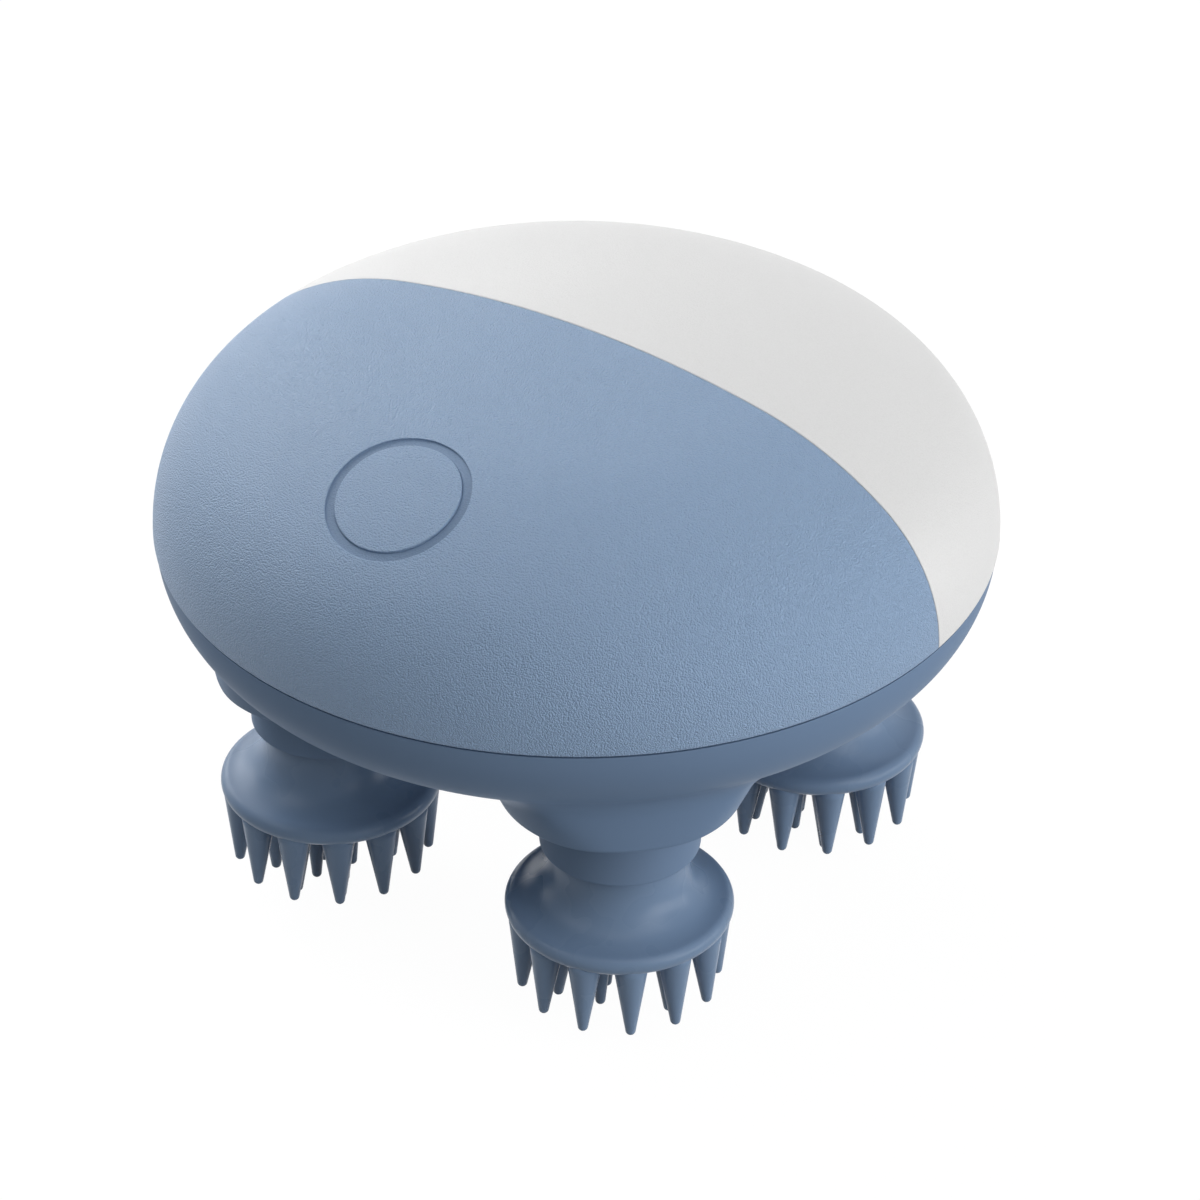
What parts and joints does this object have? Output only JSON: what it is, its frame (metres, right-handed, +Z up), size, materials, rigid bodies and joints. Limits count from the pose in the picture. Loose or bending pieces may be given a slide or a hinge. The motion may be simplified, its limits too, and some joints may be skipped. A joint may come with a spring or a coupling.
{
  "type": "electric scalp massager",
  "caption": "Round domed electric scalp massager with a push button, a soft grained two-colour top, and turning toothed massage heads under a bowl-shaped casing.",
  "frame": {"origin": "on the resting surface, under the middle of the four massage heads", "axes": "+Z up along the body's axis, -Y towards the front with the button, +X to the right"},
  "size_m": [0.1054, 0.1054, 0.0789],
  "materials": {
    "cover_blue": "fine pebbled soft-touch skin",
    "cover_white": "fine pebbled soft-touch skin",
    "casing_blue": "satin moulded",
    "head_silicone": "smooth satin silicone",
    "hub_blue": "satin moulded",
    "gear_nylon": "natural moulded nylon",
    "bush_bronze": "sintered",
    "seal_rubber": "soft",
    "steel": "turned",
    "plate_grey": "moulded",
    "board_green": "solder mask",
    "switch_black": "moulded",
    "cell_silver": "foil",
    "contact_brass": "machined"
  },
  "bodies": {
    "main_body": {"front_cover": "cover_blue", "rear_cover": "cover_white", "upper_shell": "casing_blue", "button_board": "board_green", "tact_switch": "switch_black", "lower_casing": "casing_blue", "seam_seal": "seal_rubber", "shaft_bush_front_left": "bush_bronze", "shaft_bush_front_right": "bush_bronze", "shaft_bush_rear_left": "bush_bronze", "shaft_bush_rear_right": "bush_bronze", "shaft_seal_front_left": "seal_rubber", "shaft_seal_front_right": "seal_rubber", "shaft_seal_rear_left": "seal_rubber", "shaft_seal_rear_right": "seal_rubber", "centre_axle": "steel", "idler_axle": "steel", "motor_can": "steel", "gear_plate": "plate_grey", "motor_plate": "plate_grey", "gearbox_screws": "steel", "motor_screws": "steel", "casing_screws": "steel", "battery_tray": "plate_grey", "battery": "cell_silver", "circuit_board": "board_green", "board_screws": "steel", "charge_contacts": "contact_brass"},
    "button": {"button_cap": "cover_blue"},
    "centre_gear_body": {"centre_wheel": "gear_nylon"},
    "idler_body": {"idler_gear": "gear_nylon"},
    "motor_rotor": {"motor_pinion": "contact_brass"},
    "head_front_left": {"massage_head_front_left": "head_silicone", "head_hub_front_left": "hub_blue", "output_gear_front_left": "gear_nylon"},
    "head_front_right": {"massage_head_front_right": "head_silicone", "head_hub_front_right": "hub_blue", "output_gear_front_right": "gear_nylon"},
    "head_rear_left": {"massage_head_rear_left": "head_silicone", "head_hub_rear_left": "hub_blue", "output_gear_rear_left": "gear_nylon"},
    "head_rear_right": {"massage_head_rear_right": "head_silicone", "head_hub_rear_right": "hub_blue", "output_gear_rear_right": "gear_nylon"}
  },
  "joints": [
    {"name": "button_press", "type": "slide", "parent": "main_body", "child": "button", "axis": [0, 0.4062, -0.9138], "range_m": [0, 0.0008], "stiffness_N_per_m": 800, "springref_m": -0.0006},
    {"name": "centre_spin", "type": "hinge", "parent": "main_body", "child": "centre_gear_body", "pos_m": [0, 0, 0.0473], "axis": [0, 0, 1], "continuous": true},
    {"name": "idler_spin", "type": "hinge", "parent": "main_body", "child": "idler_body", "pos_m": [0, 0.03, 0.0491], "axis": [0, 0, 1], "continuous": true},
    {"name": "motor_spin", "type": "hinge", "parent": "main_body", "child": "motor_rotor", "pos_m": [0, 0.0125, 0.0511], "axis": [0, 0, 1], "continuous": true},
    {"name": "head_spin_front_left", "type": "hinge", "parent": "main_body", "child": "head_front_left", "pos_m": [-0.0225, -0.0225, 0.0247], "axis": [0, 0, 1], "continuous": true},
    {"name": "head_spin_front_right", "type": "hinge", "parent": "main_body", "child": "head_front_right", "pos_m": [0.0225, -0.0225, 0.0247], "axis": [0, 0, 1], "continuous": true},
    {"name": "head_spin_rear_left", "type": "hinge", "parent": "main_body", "child": "head_rear_left", "pos_m": [-0.0225, 0.0225, 0.0247], "axis": [0, 0, 1], "continuous": true},
    {"name": "head_spin_rear_right", "type": "hinge", "parent": "main_body", "child": "head_rear_right", "pos_m": [0.0225, 0.0225, 0.0247], "axis": [0, 0, 1], "continuous": true}
  ],
  "couplings": [
    {"joint": "idler_spin", "follows": "centre_spin", "ratio": -4},
    {"joint": "motor_spin", "follows": "centre_spin", "ratio": 16},
    {"joint": "head_spin_front_left", "follows": "centre_spin", "ratio": -2},
    {"joint": "head_spin_front_right", "follows": "centre_spin", "ratio": -2},
    {"joint": "head_spin_rear_left", "follows": "centre_spin", "ratio": -2},
    {"joint": "head_spin_rear_right", "follows": "centre_spin", "ratio": -2}
  ]
}
